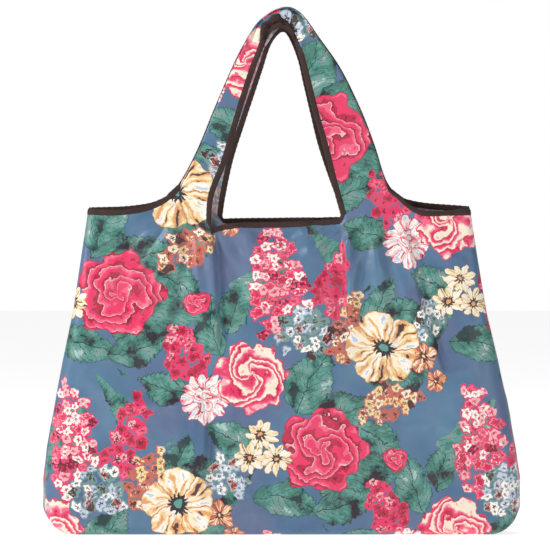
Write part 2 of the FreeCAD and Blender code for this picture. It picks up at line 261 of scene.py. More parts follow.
LINE_FADE = 14.0      # how far a fold carries on past the end of its line


def along_line(x, z, line):
    """Signed distance to the right of a mainly upright or level line, and a fade at its ends."""
    curve = through(line, 24)
    upright = abs(line[0][1] - line[-1][1]) > abs(line[0][0] - line[-1][0])
    main, side = (z, x) if upright else (x, z)
    c = curve[:, ::-1] if upright else curve
    c = c[np.argsort(c[:, 0])]
    distance = side - np.interp(main, c[:, 0], c[:, 1])
    low, high = c[0, 0], c[-1, 0] + LINE_FADE
    taper = 0.28 * (high - LINE_FADE - low)
    return distance, smooth(main, low - 6.0, low + taper) * (1.0 - smooth(main, high - taper, high))


def folds(x, z, side):
    """(how far the folds push the cloth out, how far they shift the flat cloth sideways)."""
    push, shift = np.zeros_like(x), np.zeros_like(x)
    for way, depth, hidden, points in PLEATS[side]:
        distance, fade = along_line(x, z, points)
        distance = distance * way
        step = 0.5 - 0.5 * np.tanh(distance / PLEAT_EDGE)
        over = step * (1.0 - smooth(-distance, 3.0, 40.0)) * 0.8
        under = (1.0 - step) * (1.0 - smooth(distance, 1.0, 26.0)) * 0.55
        push += fade * depth * (over - under)
        spread = 1.0 - smooth(np.abs(distance), 20.0, 110.0)
        shift += fade * hidden * (0.5 - step) * spread * way
    for depth, width, points in CREASES[side]:
        distance, fade = along_line(x, z, points)
        push += fade * depth * bump(distance, 0.0, width)
    return push, shift


def ridges(points, size, seed, sharpness):
    """Narrow branching ridges, as a crumpled sheet keeps."""
    return (1.0 - np.abs(wrinkle(points, size, seed))) ** sharpness


def strap_fan(x, z, side):
    """Folds that spread down from the root of each strap, where the load enters the cloth."""
    push = np.zeros_like(x)
    for root in (-118.0, 114.0):
        away, down = x - root, FOLD_Z + 24.0 - z
        reach = np.hypot(away, down)
        angle = np.arctan2(away, down)
        uneven = wrinkle(pack(angle * 60.0, reach * 0.2), 14.0, side * 2.9 + root)
        ripple = np.sin(angle * 21.0 + 2.6 * uneven)
        push += 1.8 * ripple * smooth(reach, 24.0, 60.0) * (1.0 - smooth(reach, 90.0, 240.0))
    return push


def cloth_face(x, z, side):
    """Outward place of the cloth with folds and fine wrinkles, and its sideways shift."""
    push, shift = folds(x, z, side)
    flat = pack(x, z)
    push += 3.4 * wrinkle(flat, 95.0, side * 3.1) + 2.2 * wrinkle(flat, 42.0, side * 7.7)
    push += 0.9 * wrinkle(flat, 17.0, side * 4.9)
    push += strap_fan(x, z, side)
    push += 3.0 * ridges(flat * np.array([0.7, 1.0]), 88.0, side * 9.4, 9.0)
    push += 1.8 * ridges(flat * np.array([1.0, 0.6]), 46.0, side * 1.7, 8.0)
    edge = edge_distance(x, z)
    calm = smooth(edge, 2.0, 26.0)
    pucker = wrinkle(flat * np.array([1.0, 0.3]), 8.0, side * 6.6)
    push += 1.1 * pucker * bump(edge, 12.0, 12.0)
    return soft_face(x, z) + push * calm, shift * calm


# ---- cloth grids


STRAP_COLUMNS = 20    # quads across each strap
ROLL_RADIUS = 4.2     # roll of the strap's outer edge
ROLL_TURN = 2.5       # how far the edge rolls round, in radians


def body_columns(side):
    """Column places along the top edge, counted along the cloth, and the strap marks."""
    top = TOPS[side]
    radius = float(rounding(FOLD_Z))
    seam = float(half_width(FOLD_Z)) - radius + radius * math.pi / 2.0
    left_out, left_in = top["left"][-1][0], top["mouth"][0][0]
    right_in, right_out = top["mouth"][-1][0], top["right"][0][0]
    spans = [(-seam, left_out, None), (left_out, left_in, STRAP_COLUMNS), (left_in, right_in, None),
             (right_in, right_out, STRAP_COLUMNS), (right_out, seam, None)]
    columns, marks = [-seam], []
    for low, high, count in spans:
        count = count or int(round((high - low) / STEP))
        columns.extend(np.linspace(low, high, count + 1)[1:])
        marks.append(len(columns) - 1)
    return np.array(columns), marks[:4]


def top_height(side, x):
    top = TOPS[side]
    points = np.vstack([through(top[part], 40) for part in ("left", "mouth", "right")])
    return np.interp(x, points[:, 0], points[:, 1])


def body_grid(side):
    """Grid of the body cloth, (x, y, z), with the flat cloth's own coordinates beside it."""
    columns, marks = body_columns(side)
    hand, columns = np.sign(columns), np.abs(columns)
    radius = float(rounding(FOLD_Z))
    flat_top = float(half_width(FOLD_Z)) - radius
    turn = np.clip((columns - flat_top) / radius, 0.0, None)
    round_turn = np.sin(np.minimum(turn, math.pi / 2.0))
    fraction = np.where(turn > 0.0, 1.0, columns / flat_top)
    tops = top_height(side, hand * np.where(turn > 0.0, flat_top + radius * round_turn, columns))
    foot = float(rounding(0.0))
    bend = np.linspace(0.0, math.pi / 2.0, 9)
    rise = np.linspace(0.0, 1.0, int(FOLD_Z / STEP))[1:]
    rows_low = np.repeat((foot * (1.0 - np.cos(bend)))[:, None], len(columns), axis=1)
    z = np.vstack([rows_low, foot + rise[:, None] * (tops - foot)[None, :]])
    radius = rounding(z)
    straight = fraction * (half_width(z) - radius)
    x = (straight + radius * round_turn) * hand
    out, shift = cloth_face(x, z, side)
    flat_x = (straight + radius * turn) * hand + shift
    flat_z = np.where(z < foot, foot * (np.arccos(np.clip(1.0 - z / foot, -1, 1)) - 0.57), z)
    grid = pack(drawn_in(x, z), side * out, z)
    return grid, pack(flat_x, flat_z), marks


def handle_grid(side, body, flat, marks):
    """Grid of one handle: rows from the left root over the crown to the right root.

    The outer edge is rolled backwards, and the cloth that it hides is wider on the left."""
    pairs = np.array(HANDLES[side], float)
    count = int(2.0 * (CROWN_Z - FOLD_Z) * 1.12 / STEP)
    outer, inner = through(pairs[:, 0], count), through(pairs[:, 1], count)
    s = np.linspace(0.0, 1.0, count)[:, None]
    t = np.linspace(0.0, 1.0, STRAP_COLUMNS + 1)[None, :]
    width = np.linalg.norm(inner - outer, axis=1)[:, None]
    from_root = np.minimum(s, 1.0 - s)
    free = smooth(from_root, 0.0, 0.07)
    crown = smooth(from_root, 0.30, 0.46)
    real = width * (1.0 + free * np.where(s < 0.5, 0.55, 0.22) + crown * 0.5)
    cloth = t * real
    hidden = np.maximum(real - width + 2.0 * ROLL_RADIUS * free, 1e-6)
    angle = np.clip((hidden - cloth) / hidden, 0.0, 1.0) * free * ROLL_TURN
    flat_part = np.clip((cloth - hidden) / np.maximum(real - hidden, 1e-6), 0.0, 1.0)
    across = ROLL_RADIUS * free * (1.0 - np.sin(np.minimum(angle, math.pi)))
    across = across + flat_part * (width - ROLL_RADIUS * free)
    fraction = (across * free + t * width * (1.0 - free)) / width
    behind = ROLL_RADIUS * (1.0 - np.cos(angle)) * free
    x = outer[:, :1] + (inner - outer)[:, :1] * fraction
    z = outer[:, 1:] + (inner - outer)[:, 1:] * fraction
    wave = np.sin(2.0 * math.pi * (t * (1.6 + 1.2 * crown) + 0.9 * s + 0.1 * side))
    wave = (wave + 0.4 * np.sin(2.0 * math.pi * (t * 4.1 - 2.1 * s))) * (0.66 + 2.53 * crown)
    crumple = wrinkle(pack(x, z), 22.0, side * 2.3) * (0.8 + 2.0 * crown)
    height = np.clip((z - FOLD_Z) / (CROWN_Z - FOLD_Z), 0.0, 1.0)
    centre = MOUTH_DEPTH + 1.0 + (CROWN_OUT - MOUTH_DEPTH) * height
    root_out, _ = cloth_face(x, np.minimum(z, 430.0), side)
    hold = smooth(from_root, 0.0, 0.10)
    out = root_out * (1.0 - hold) + (centre + (wave + crumple) * free - behind) * hold
    grid = pack(x, side * out, z)
    reach = t - np.where(s < 0.5, 0.30, 0.14) * free * (1.0 - t)
    flat_grid = outer[:, None, :] + (inner - outer)[:, None, :] * reach[..., None]
    root_shifts = []
    for row, first, last, way in ((0, marks[0], marks[1], 1), (-1, marks[2], marks[3], -1)):
        root = slice(first, last + 1)
        grid[row] = body[-1, root][::way]
        root_shifts.append(flat[-1, root][::way] - flat_grid[row])
    near_left, near_right = 1.0 - smooth(s, 0.0, 0.2), smooth(s, 0.8, 1.0)
    flat_grid = flat_grid + root_shifts[0] * near_left[..., None] + root_shifts[1] * near_right[..., None]
    return grid, flat_grid


# ---- meshes


class Mesh:
    """Collects grids and tubes of one piece, in millimetres."""

    def __init__(self):
        self.points, self.flats, self.faces, self.slots = [], [], [], []
        self.count = 0

    def add_points(self, points, flats):
        points = np.asarray(points, float).reshape(-1, 3)
        flats = np.asarray(flats, float).reshape(-1, 2)
        start = self.count
        self.points.append(points)
        self.flats.append(flats)
        self.count += len(points)
        return np.arange(start, self.count)

    def add_faces(self, faces, slot=0):
        faces = [tuple(int(i) for i in face) for face in faces]
        self.faces.extend(faces)
        self.slots.extend([slot] * len(faces))

    def quads(self, index, slot=0, flip=False):
        """Quads over an index grid whose rows go up and columns to the right."""
        a, b = index[:-1, :-1].ravel(), index[:-1, 1:].ravel()
        c, d = index[1:, 1:].ravel(), index[1:, :-1].ravel()
        order = (a, d, c, b) if flip else (a, b, c, d)
        self.add_faces(np.stack(order, axis=1), slot)

    def build(self, name, materials):
        mesh = bpy.data.meshes.new(name)
        points = np.vstack(self.points) * MM
        mesh.from_pydata(points.tolist(), [], self.faces)
        for material in materials:
            mesh.materials.append(material)
        mesh.polygons.foreach_set("material_index", self.slots)
        mesh.polygons.foreach_set("use_smooth", [True] * len(self.faces))
        flats = np.vstack(self.flats) * MM
        layer = mesh.uv_layers.new(name="ClothFlat")
        corner = np.empty(len(mesh.loops), int)
        mesh.loops.foreach_get("vertex_index", corner)
        layer.data.foreach_set("uv", flats[corner].ravel())
        mesh.update()
        thing = bpy.data.objects.new(name, mesh)
        bpy.context.scene.collection.objects.link(thing)
        return thing
# ---- node graphs


def operator(operation, swapped=False):
    """A method of Wire for an arithmetic sign."""
    def apply(wire, other):
        pair = (other, wire) if swapped else (wire, other)
        return wire.graph.math(operation, *pair)
    return apply


def maths(operation):
    """A method of Graph for one operation of the math node."""
    return lambda graph, *values: graph.math(operation, *values)


class Wire:
    """A socket that takes part in arithmetic, so a node graph reads like a formula."""

    def __init__(self, graph, socket):
        self.graph, self.socket = graph, socket

    __add__ = __radd__ = operator("ADD")
    __mul__ = __rmul__ = operator("MULTIPLY")
    __sub__, __rsub__ = operator("SUBTRACT"), operator("SUBTRACT", swapped=True)
    __truediv__, __rtruediv__ = operator("DIVIDE"), operator("DIVIDE", swapped=True)
    __lt__, __gt__ = operator("LESS_THAN"), operator("GREATER_THAN")


class Graph:
    """Adds nodes to one tree."""

    def __init__(self, tree):
        self.tree = tree

    def add(self, kind, inputs=None, **settings):
        node = self.tree.nodes.new(kind)
        for name, value in settings.items():
            setattr(node, name, value)
        for name, value in (inputs or {}).items():
            self.feed(node.inputs[name], value)
        return node

    def node(self, kind, inputs=None, output=0, **settings):
        return Wire(self, self.add(kind, inputs, **settings).outputs[output])

    def feed(self, socket, value):
        if isinstance(value, Wire):
            self.tree.links.new(value.socket, socket)
        else:
            socket.default_value = value

    def math(self, operation, a, b=0.0, c=0.0):
        node = self.add("ShaderNodeMath", operation=operation)
        for socket, value in zip(node.inputs, (a, b, c)):
            self.feed(socket, value)
        return Wire(self, node.outputs[0])

    sin, frac, abs, root = maths("SINE"), maths("FRACT"), maths("ABSOLUTE"), maths("SQRT")
    low, high, power = maths("MINIMUM"), maths("MAXIMUM"), maths("POWER")
    muladd, wrap = maths("MULTIPLY_ADD"), maths("WRAP")

    def radius(self, x, y):
        return self.root(self.muladd(x, x, y * y))

    def angle(self, x, y):
        return self.math("ARCTAN2", y, x)

    def join(self, x, y, z=0.0):
        return self.node("ShaderNodeCombineXYZ", {0: x, 1: y, 2: z})

    def split(self, vector):
        node = self.add("ShaderNodeSeparateXYZ", {0: vector})
        return [Wire(self, out) for out in node.outputs]

    def noise(self, vector, scale, detail=2.0, output="Fac"):
        inputs = {"Vector": vector, "Scale": scale, "Detail": detail}
        return self.node("ShaderNodeTexNoise", inputs, output)

    def bump(self, height, strength, distance, **under):
        """A normal from heights; distance is in metres."""
        inputs = {"Height": height, "Strength": strength, "Distance": distance}
        return self.node("ShaderNodeBump", {**inputs, **under})

    def mix(self, factor, a, b):
        return self.node("ShaderNodeMix", {0: factor, 6: a, 7: b}, 2, data_type="RGBA")

    def ramp(self, value, stops):
        """Colour by value in flat steps; stops are (position, colour)."""
        node = self.add("ShaderNodeValToRGB", {0: value})
        node.color_ramp.interpolation = "CONSTANT"
        elements = node.color_ramp.elements
        elements.remove(elements[-1])
        for number, (position, colour) in enumerate(stops):
            element = elements[0] if number == 0 else elements.new(position)
            element.position, element.color = position, colour
        return Wire(self, node.outputs[0])

    def use(self, group, **values):
        """A node of a group, fed by the names of its inputs; returns its outputs."""
        node = self.add("ShaderNodeGroup", node_tree=group)
        for name, value in values.items():
            self.feed(node.inputs[name], value)
        return [Wire(self, out) for out in node.outputs]


def make_group(name, inputs, outputs, formula, *fixed):
    """A node group from formula(graph, *fixed, **wires), with a wire for each input's name."""
    tree = bpy.data.node_groups.new(name, "ShaderNodeTree")
    for side, names in (("INPUT", inputs), ("OUTPUT", outputs)):
        for socket in names:
            kind = "NodeSocketColor" if socket in ("under", "colour") else "NodeSocketFloat"
            tree.interface.new_socket(socket, in_out=side, socket_type=kind)
    graph = Graph(tree)
    source = graph.add("NodeGroupInput")
    wires = {socket: Wire(graph, source.outputs[socket]) for socket in inputs}
    results = formula(graph, *fixed, **wires)
    sink = graph.add("NodeGroupOutput")
    for socket, result in zip(outputs, results):
        graph.feed(sink.inputs[socket], result)
    return tree


def rgb(red, green, blue):
    """A screen colour from 0 to 255 as the linear colour that nodes use."""
    def linear(channel):
        c = channel / 255.0
        return c / 12.92 if c <= 0.04045 else ((c + 0.055) / 1.055) ** 2.4
    return (linear(red), linear(green), linear(blue), 1.0)


# ---- colours of the print

GROUND = rgb(66, 100, 136)
GROUND_LIGHT = rgb(88, 126, 154)
PLUM_GROUND = rgb(94, 98, 136)
INK = rgb(34, 24, 34)
NIGHT_GREEN = rgb(24, 52, 54)
DARK_GREEN = rgb(46, 92, 88)
LEAF_GREEN = rgb(66, 126, 112)
TEAL = rgb(88, 148, 138)
SAGE = rgb(118, 148, 142)
MINT = rgb(156, 194, 186)
WINE = rgb(112, 10, 40)
CRIMSON = rgb(186, 20, 62)
HOT_PINK = rgb(228, 48, 98)
PINK = rgb(238, 96, 128)
BLUSH = rgb(246, 176, 182)
CREAM = rgb(246, 232, 208)
BUTTER = rgb(238, 206, 146)
APRICOT = rgb(224, 160, 104)
CORAL = rgb(196, 100, 84)
WHITE = rgb(248, 242, 234)
MIST = rgb(190, 202, 222)
BROWN = rgb(70, 44, 42)

# ---- the floral print

REPEAT_WIDE = 515.0   # width of the half-drop repeat, millimetres
REPEAT_TALL = 392.0   # height of the half-drop repeat


def place_formula(g, first, second, first_end, second_end, xa, xb, xc, ya, yb, yc):
    """Coordinates about the nearest repeat of a motif, from the two lattice coordinates."""
    i = g.wrap(first, first_end, first_end - 1.0)
    j = g.wrap(second, second_end, second_end - 1.0)
    return g.muladd(i, xa, g.muladd(j, xb, xc)), g.muladd(i, ya, g.muladd(j, yb, yc))


def cluster_formula(g, petals, shade, under, x, y, wide, tall, chance, floret, tone):
    """A head of florets: whole florets whose centre falls in an ellipse."""
    x, y = x / wide, y / tall
    across = x * g.muladd(y, 0.35, 1.0)
    mask = g.muladd(across, across, y * y) + (chance - 0.5) * 0.3 < 1.0
    shaded = g.mix(mask * (floret > -0.17), under, shade)
    return [g.mix(mask * (floret > 0.0), shaded, g.ramp(tone, petals))]


def rose_formula(g, colours, under, x, y, tint, grain, size, ring, lobes, phase, swirl):
    """Cupped petals as broken rings that wind outwards from the heart."""
    radius, angle = g.radius(x, y), g.angle(x, y)
    wave = g.sin(g.muladd(angle, lobes, phase)) * 0.09
    ripple = g.sin(g.muladd(angle, g.muladd(lobes, 2.0, 1.0), phase)) * 0.05
    edge = g.muladd(size, wave + ripple + 1.0, -1.0 * radius)
    bend = g.sin(g.muladd(angle, 3.0, radius * 2.2 / ring)) * 0.42
    turn = g.muladd(angle * swirl, 1.0 / (2.0 * math.pi), bend)
    band = g.frac(radius / ring + turn + (tint - 0.5) * 2.4)
    tone = g.low(band + (grain - 0.5) * 0.35, edge * 0.3)
    return [g.mix(edge > 0.0, under, g.ramp(tone, colours))]


def petalled_formula(g, colours, under, x, y, grain, size, count, depth, phase, notch):
    """An open flower with count petals, streaked along their length."""
    radius, angle = g.radius(x, y), g.angle(x, y)
    lobe = g.abs(g.sin(g.muladd(angle, count * 0.5, phase)))
    reach = g.muladd(g.power(lobe, notch), depth, 1.0 - depth)
    edge = size * reach - radius
    streaks = g.noise(g.join(angle * 2.6, radius * 0.02, phase), 2.2, 1.0)
    tone = (streaks - 0.5) * 2.3 + 0.5 + (grain - 0.5) * 0.25
    tone = g.low(g.low(tone, edge * 0.35), lobe * radius * 0.16)
    return [g.mix(edge > 0.0, under, g.ramp(tone, colours))]


def eye_formula(g, rim, heart, under, x, y, size, count):
    """Dark ragged centre of a flower with a paler heart."""
    radius = g.radius(x, y)
    teeth = g.sin(g.angle(x, y) * count)
    ragged = size * g.muladd(teeth, 0.28, 1.05)
    rimmed = g.mix(radius < ragged, under, rim)
    return [g.mix(radius < size * 0.45, rimmed, heart)]


def leaf_formula(g, colours, under, x, y, tint, grain, length, width, curve):
    """A toothed leaf about its middle; curve bends it sideways, in millimetres."""
    along = x / length
    rise = g.muladd(along * along, -4.0, 1.0)
    y = y - rise * curve
    side = g.abs(y)
    teeth = g.frac(g.muladd(x, 0.11, side * -0.13))
    skewed = g.muladd(along, -0.5, 1.0)
    edge = g.muladd(rise * skewed, width, teeth * -3.0 + 1.0) - side
    tone = g.muladd(tint - 0.5, 2.6, 0.5) + (grain - 0.5) * 0.7 - (y > 0.0) * 0.16
    vein = g.high((teeth < 0.10) * (grain > 0.46), (side < 0.6) * (grain > 0.4))
    tone = g.low(g.low(tone, edge * 0.28), 1.0 - vein * 0.9)
    return [g.mix(edge > 0.0, under, g.ramp(tone, colours))]


PLACE_SOCKETS = ("first", "second", "first_end", "second_end", "xa", "xb", "xc", "ya", "yb", "yc")
PLACE = make_group("place", PLACE_SOCKETS, ("x", "y"), place_formula)


class Print:
    """Flowers painted in layers over the ground, on cloth coordinates in millimetres."""

    def __init__(self, graph, x, y):
        self.g = g = graph
        self.groups = {}
        flat = g.join(x, y)
        wobble_x, wobble_y, self.tint = g.split(g.noise(flat, 0.045, 2.0, "Color"))
        grain_x, grain_y, self.grain = g.split(g.noise(flat, 0.28, 2.0, "Color"))
        self.x = x + (wobble_x - 0.5) * 16.0 + (grain_x - 0.5) * 3.4
        self.y = y + (wobble_y - 0.5) * 16.0 + (grain_y - 0.5) * 3.4
        self.rows = self.lattice(self.x, self.y)
        self.florets()
        wash = g.noise(flat, 0.011, 2.0)
        ground = g.mix(g.muladd(wash, 2.4, -0.7), GROUND, GROUND_LIGHT)
        plum = g.muladd(g.noise(g.join(y, x), 0.008, 1.0), 3.6, -1.75)
        self.colour = g.mix(g.low(g.high(plum, 0.0), 0.6), ground, PLUM_GROUND)

    def lattice(self, x, y):
        """Coordinates along the two diagonals of the half-drop repeat."""
        across, up = x * (1.0 / REPEAT_WIDE), y * (1.0 / REPEAT_TALL)
        return across + up, across - up

    def local(self, centre, angle=0.0, rows=None):
        """(x, y) in millimetres about the nearest repeat of centre, turned by angle."""
        first, second = rows or self.rows
        values = {
            "first_end": centre[0] / REPEAT_WIDE + centre[1] / REPEAT_TALL + 0.5,
            "second_end": centre[0] / REPEAT_WIDE - centre[1] / REPEAT_TALL + 0.5,
        }
        turn = math.radians(angle)
        ways = {"x": (math.cos(turn), math.sin(turn)), "y": (-math.sin(turn), math.cos(turn))}
        for axis, (wide, tall) in ways.items():
            half_wide, half_tall = wide * REPEAT_WIDE / 2.0, tall * REPEAT_TALL / 2.0
            values[axis + "a"], values[axis + "b"] = half_wide + half_tall, half_wide - half_tall
            values[axis + "c"] = -(centre[0] * wide + centre[1] * tall)
        return self.g.use(PLACE, first=first, second=second, **values)

    def florets(self):
        """One field of small five-petalled florets that every cluster takes its share of."""
        g = self.g
        inputs = {"Vector": g.join(self.x, self.y), "Scale": 1.0 / 11.5, "Randomness": 0.8}
        cells = g.add("ShaderNodeTexVoronoi", inputs, voronoi_dimensions="2D")
        distance = Wire(g, cells.outputs["Distance"])
        cell_x, cell_y, _ = g.split(Wire(g, cells.outputs["Position"]))
        self.cell_rows = self.lattice(cell_x, cell_y)
        self.chance, turn, _ = g.split(Wire(g, cells.outputs["Color"]))
        angle = g.angle(self.x - cell_x, self.y - cell_y)
        petals = g.sin(g.muladd(angle, 5.0, turn * 2.0 * math.pi))
        self.floret = g.muladd(petals, 0.09, 0.50) - distance
        tone = g.low(self.chance + (self.grain - 0.5) * 0.5, self.floret * 14.0)
        self.floret_tone = g.high(tone, (self.floret > 0.36) * 0.99)

    def motif(self, place, formula, *colours, **values):
        """Paint one motif; its group is made once for each formula and its colours."""
        values.update(under=self.colour, x=place[0], y=place[1])
        key = (formula, colours)
        if key not in self.groups:
            self.groups[key] = make_group("motif", values, ["colour"], formula, *colours)
        self.colour, = self.g.use(self.groups[key], **values)

    def cluster(self, centre, size, angle, petals, shade):
        place = self.local(centre, angle, self.cell_rows)
        self.motif(place, cluster_formula, petals, shade, wide=size[0], tall=size[1],
                   chance=self.chance, floret=self.floret, tone=self.floret_tone)

    def rose(self, centre, size, colours, ring=11.0, lobes=5.0, phase=0.0, swirl=2.0):
        self.motif(self.local(centre), rose_formula, colours, size=size, ring=ring, lobes=lobes,
                   phase=phase, swirl=swirl, tint=self.tint, grain=self.grain)

    def petalled(self, centre, size, count, depth, colours, phase=0.0, notch=1.0):
        self.motif(self.local(centre), petalled_formula, colours, size=size, count=count,
                   depth=depth, phase=phase, notch=notch, grain=self.grain)

    def eye(self, centre, size, count, rim, heart):
        self.motif(self.local(centre), eye_formula, rim, heart, size=size, count=count)

    def leaf(self, centre, angle, length, width, colours, curve=0.0):
        self.motif(self.local(centre, angle), leaf_formula, colours, length=length, width=width,
                   curve=curve, tint=self.tint, grain=self.grain)


LEAF_COLOURS = ((0.0, NIGHT_GREEN), (0.1, DARK_GREEN), (0.2, LEAF_GREEN), (0.44, TEAL), (0.66, SAGE),
                (0.88, MINT))
DARK_LEAF_COLOURS = ((0.0, INK), (0.12, DARK_GREEN), (0.3, LEAF_GREEN), (0.56, TEAL), (0.82, SAGE))
ROSE_COLOURS = ((0.0, WINE), (0.07, CRIMSON), (0.28, HOT_PINK), (0.66, PINK), (0.92, BLUSH))
PEONY_COLOURS = ((0.0, CRIMSON), (0.1, HOT_PINK), (0.3, PINK), (0.46, BLUSH), (0.6, CREAM), (0.92, PINK))
POPPY_COLOURS = ((0.0, BROWN), (0.07, APRICOT), (0.3, BUTTER), (0.5, CREAM), (0.72, WHITE), (0.9, MIST))
CARNATION_COLOURS = ((0.0, BROWN), (0.08, PINK), (0.26, BLUSH), (0.42, WHITE), (0.7, MIST), (0.85, CREAM))
DAISY_COLOURS = ((0.0, BROWN), (0.1, BUTTER), (0.35, CREAM), (0.75, WHITE))
PEACH_COLOURS = ((0.0, BROWN), (0.1, CORAL), (0.4, APRICOT), (0.7, CREAM))
LILAC_FLORETS = ((0.0, WINE), (0.08, PINK), (0.24, BLUSH), (0.44, WHITE), (0.74, HOT_PINK), (0.97, CRIMSON))
PINK_FLORETS = ((0.0, CRIMSON), (0.12, HOT_PINK), (0.44, CRIMSON), (0.66, PINK), (0.84, BLUSH), (0.97, WINE))
MIST_FLORETS = ((0.0, BROWN), (0.05, SAGE), (0.2, MIST), (0.45, WHITE), (0.78, MIST), (0.9, CORAL),
                (0.98, BROWN))
CORAL_FLORETS = ((0.0, BROWN), (0.1, CORAL), (0.4, BUTTER), (0.65, CREAM), (0.85, CORAL), (0.97, BROWN))


def bouquet(p):
    """One repeat of the print, from the leaves at the back to the roses in front."""
    leaf, cluster = p.leaf, p.cluster
    leaf((40, 190), 60, 92, 30, LEAF_COLOURS, 8)
    leaf((78, 160), 12, 84, 28, DARK_LEAF_COLOURS, -6)
    leaf((-88, 262), 105, 80, 24, LEAF_COLOURS, 6)
    leaf((-50, 286), 70, 70, 20, DARK_LEAF_COLOURS, 4)
    leaf((120, 292), 62, 74, 19, LEAF_COLOURS, -5)
    leaf((152, 276), 20, 66, 17, DARK_LEAF_COLOURS, 5)
    leaf((6, 38), -12, 96, 24, LEAF_COLOURS, 8)
    leaf((76, 44), 18, 84, 22, DARK_LEAF_COLOURS, -7)
    leaf((-64, 116), 150, 78, 22, LEAF_COLOURS, -6)
    leaf((-150, 190), 165, 66, 20, DARK_LEAF_COLOURS, 6)
    leaf((118, 118), -30, 74, 21, LEAF_COLOURS, 6)
    cluster((-6, 318), (30, 78), 6, LILAC_FLORETS, HOT_PINK)
    cluster((62, 318), (22, 58), -18, PINK_FLORETS, HOT_PINK)
    cluster((30, 256), (36, 32), 0, MIST_FLORETS, SAGE)
    cluster((84, 268), (20, 46), -20, CORAL_FLORETS, CORAL)
    cluster((132, 166), (38, 22), 20, CORAL_FLORETS, CORAL)
    cluster((-128, 232), (24, 40), 30, PINK_FLORETS, HOT_PINK)
    cluster((-70, 76), (24, 26), 0, MIST_FLORETS, SAGE)
    for centre, size, phase in (((178, 224), 19, 0.4), ((196, 196), 15, 1.4)):
        p.petalled(centre, size, 5, 0.3, PEACH_COLOURS, phase)
        p.eye(centre, size * 0.25, 7, BROWN, BUTTER)
    p.petalled((-98, 172), 33, 13, 0.22, CARNATION_COLOURS, 0.0, 0.6)
    p.rose((-98, 172), 15, CARNATION_COLOURS, 9.0, 6.0, 1.0)
    p.petalled((126, 236), 47, 5, 0.22, POPPY_COLOURS, 0.3, 0.5)
    p.eye((126, 236), 11, 13, INK, TEAL)
    p.rose((-40, 200), 44, PEONY_COLOURS, 13.0, 7.0, 0.5, 5.0)
    p.rose((50, 108), 52, ROSE_COLOURS, 15.0, 5.0, 1.2, 2.0)
    for centre, phase in (((-26, 126), 0.0), ((-40, 98), 1.1), ((-8, 96), 2.3)):
        p.petalled(centre, 20, 9, 0.38, DAISY_COLOURS, phase)
        p.eye(centre, 5.5, 9, BROWN, APRICOT)
    p.rose((142, 96), 16, ROSE_COLOURS, 8.0, 3.0, 0.3)
    return p.colour


def print_formula(g, x, y):
    return [bouquet(Print(g, x, y))]


FLORAL_PRINT = make_group("floral_print", ("x", "y"), ["colour"], print_formula)
# ---- materials


def new_material(name):
    """A graph for a new material, and a function that finishes it from the shader's inputs."""
    material = bpy.data.materials.new(name)
    material.use_nodes = True
    tree = material.node_tree
    tree.nodes.clear()
    graph = Graph(tree)

    def finish(colour, roughness, normal=None, **inputs):
        shader = graph.add("ShaderNodeBsdfPrincipled")
        inputs.update({"Base Color": colour, "Roughness": roughness})
        if normal:
            inputs["Normal"] = normal
        for socket, value in inputs.items():
            graph.feed(shader.inputs[socket.replace("_", " ")], value)
        out = graph.add("ShaderNodeOutputMaterial")
        tree.links.new(shader.outputs["BSDF"], out.inputs["Surface"])
        return material

    return graph, finish


def flat_cloth(graph):
    """Coordinates on the flat cloth, in millimetres."""
    x, y, _ = graph.split(graph.node("ShaderNodeUVMap", uv_map="ClothFlat"))
    return x / MM, y / MM


def weave(graph, x, y, pitch, strength, distance):
    """Plain weave with uneven yarns over a faint crumple, as a bump."""
    warp = graph.noise(graph.join(x * 0.12, y * 2.4), 1.0, 1.0)
    weft = graph.noise(graph.join(x * 2.4, y * 0.12), 1.0, 1.0)
    turn = 2.0 * math.pi / pitch
    ribs = graph.sin(x * turn) * graph.sin(y * turn)
    soft = graph.bump(graph.noise(graph.join(x, y), 0.10, 3.0), 0.5, 0.0012)
    return graph.bump(graph.muladd(ribs, 0.5, warp + weft), strength, distance, Normal=soft)


def print_material(name, pale):
    """Printed satin taffeta; pale is how far the colours fade towards the bare yarn."""
    graph, finish = new_material(name)
    x, y = flat_cloth(graph)
    colour, = graph.use(FLORAL_PRINT, x=x, y=y)
    if pale:
        colour = graph.mix(pale, colour, YARN)
    # Paler patches by noise: a painted highlight, the print mixed a little towards a whitish sheen.
    painted_sheen = graph.noise(graph.join(x, y), 0.03, 3.0)
    colour = graph.mix(graph.muladd(painted_sheen, 0.10, -0.03), colour, HIGHLIGHT)
    sheen = graph.noise(graph.join(x * 0.4, y * 2.0), 0.16, 2.0)
    normal = weave(graph, x, y, 0.62, 0.22, 0.00012)
    lustre = {"Specular_IOR_Level": 0.42, "Sheen_Weight": 0.06, "Sheen_Roughness": 0.35}
    return finish(colour, graph.muladd(sheen, 0.16, 0.30), normal, **lustre)


def tape_material(name, colour, highlight_brown):
    """Folded binding tape with fine cross ribs; its dark brown is mixed towards a lighter brown by the ribs
    and by noise, a painted highlight.
    """
    graph, finish = new_material(name)
    x, y = flat_cloth(graph)
    fade = graph.noise(graph.join(x, y), 0.05, 3.0)
    rib = graph.sin(x * (2.0 * math.pi / 0.9))
    # painted highlight: rib tops and noisy patches are lit towards the lighter brown
    colour = graph.mix(graph.muladd(rib, 0.10, fade), colour, highlight_brown)
    height = graph.muladd(graph.noise(graph.join(x, y * 2.0), 0.8, 2.0), 0.8, rib * 0.4)
    normal = graph.bump(height, 0.35, 0.00025)
    return finish(colour, graph.muladd(fade, 0.2, 0.5), normal, Specular_IOR_Level=0.25, Sheen_Weight=0.05)


def thread_material():
    graph, finish = new_material("thread")
    fade = graph.noise(graph.node("ShaderNodeTexCoord", output="Object"), 900.0, 2.0)
    colour = graph.mix(fade, rgb(52, 36, 34), rgb(84, 62, 56))
    return finish(colour, graph.muladd(fade, 0.2, 0.45), graph.bump(fade, 0.4, 0.0001))


